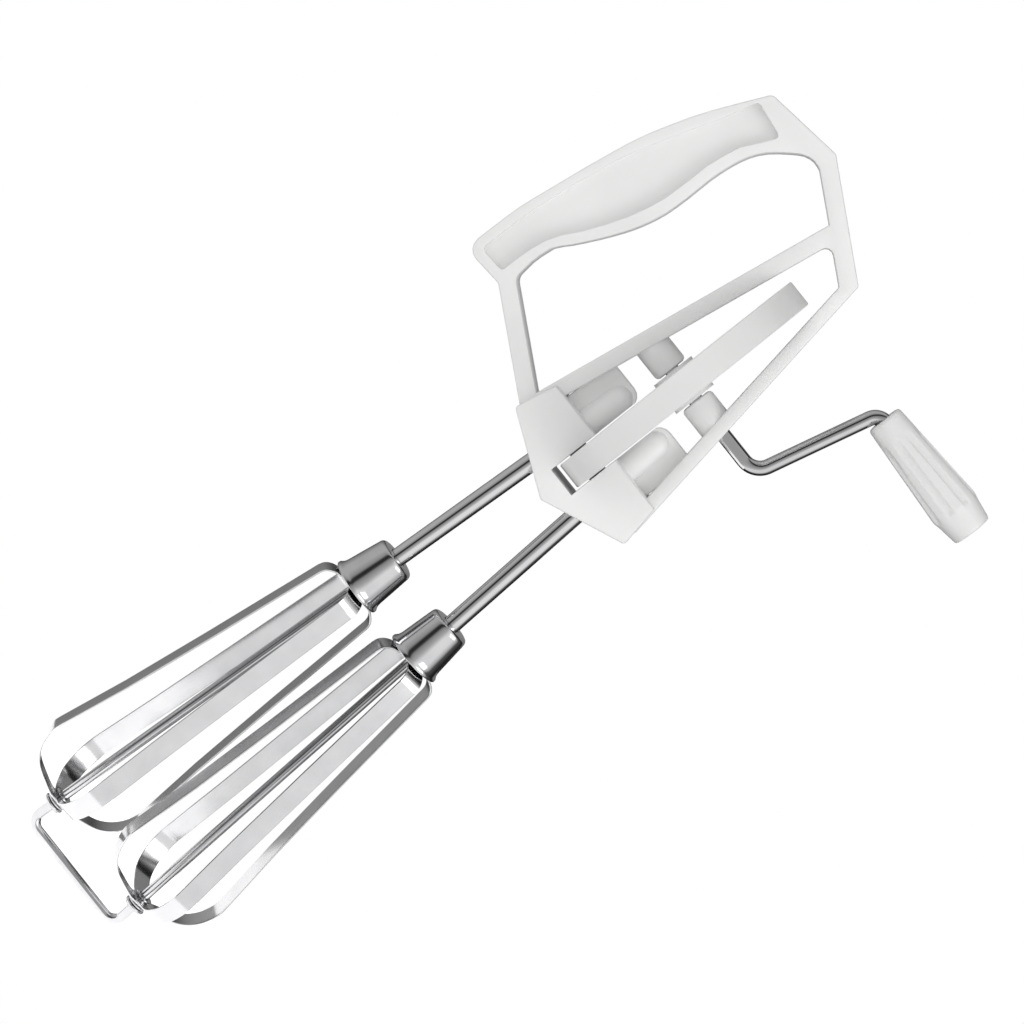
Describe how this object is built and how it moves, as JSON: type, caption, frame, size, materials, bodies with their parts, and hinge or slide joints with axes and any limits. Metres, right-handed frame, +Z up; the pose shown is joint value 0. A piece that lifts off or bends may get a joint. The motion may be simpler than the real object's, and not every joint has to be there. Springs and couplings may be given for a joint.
{
  "type": "hand crank egg beater",
  "caption": "Hand-held crank beater: a moulded D-handle frame, a crown-toothed wheel turned by a knobbed wire crank, geared strip whisks on splayed tubes and a U-shaped foot wire.",
  "frame": {"origin": "middle of the hand grip, in the plane of the frame", "axes": "+Z up along the beater, from the whisks to the top bar; +X from the grip to the crank knob, along the wheel's axle; +Y away from the front"},
  "size_m": [0.1527, 0.084, 0.3058],
  "materials": {
    "frame_body": "satin white moulding",
    "drive_wheel": "satin white moulding",
    "crank_knob": "satin white moulding",
    "pinion_left": "satin white moulding",
    "pinion_right": "satin white moulding",
    "crank_rod": "bright plated steel",
    "foot_wire": "drawn steel",
    "knob_snap_ring": "drawn steel",
    "drive_tube_left": "bright plated steel",
    "whisk_cap_left": "bright plated steel",
    "blade_loop_over_left": "bright plated steel",
    "blade_loop_under_left": "bright plated steel",
    "hub_eyelet_left": "drawn steel",
    "thrust_washer_left": "drawn steel",
    "drive_tube_right": "bright plated steel",
    "whisk_cap_right": "bright plated steel",
    "blade_loop_over_right": "bright plated steel",
    "blade_loop_under_right": "bright plated steel",
    "hub_eyelet_right": "drawn steel",
    "thrust_washer_right": "drawn steel"
  },
  "bodies": {
    "frame": {"frame_body": "frame_body", "foot_wire": "foot_wire", "thrust_washer_left": "thrust_washer_left", "thrust_washer_right": "thrust_washer_right"},
    "drive": {"drive_wheel": "drive_wheel", "crank_rod": "crank_rod", "knob_snap_ring": "knob_snap_ring"},
    "knob": {"crank_knob": "crank_knob"},
    "whisk_left": {"drive_tube_left": "drive_tube_left", "pinion_left": "pinion_left", "whisk_cap_left": "whisk_cap_left", "blade_loop_over_left": "blade_loop_over_left", "blade_loop_under_left": "blade_loop_under_left", "hub_eyelet_left": "hub_eyelet_left"},
    "whisk_right": {"drive_tube_right": "drive_tube_right", "pinion_right": "pinion_right", "whisk_cap_right": "whisk_cap_right", "blade_loop_over_right": "blade_loop_over_right", "blade_loop_under_right": "blade_loop_under_right", "hub_eyelet_right": "hub_eyelet_right"}
  },
  "joints": [
    {"name": "crank_turn", "type": "hinge", "parent": "frame", "child": "drive", "pos_m": [0.053, 0, -0.02405], "axis": [1, 0, 0], "continuous": true},
    {"name": "knob_spin", "type": "hinge", "parent": "drive", "child": "knob", "pos_m": [0.113, 0, 0.01425], "axis": [1, 0, 0], "continuous": true},
    {"name": "whisk_left_spin", "type": "hinge", "parent": "frame", "child": "whisk_left", "pos_m": [0.04376, 0, -0.059], "axis": [0.053, 0, 0.9986], "continuous": true},
    {"name": "whisk_right_spin", "type": "hinge", "parent": "frame", "child": "whisk_right", "pos_m": [0.06224, 0, -0.059], "axis": [-0.053, 0, 0.9986], "continuous": true}
  ],
  "couplings": [
    {"joint": "whisk_left_spin", "follows": "crank_turn", "ratio": 5.5},
    {"joint": "whisk_right_spin", "follows": "crank_turn", "ratio": -5.5}
  ]
}
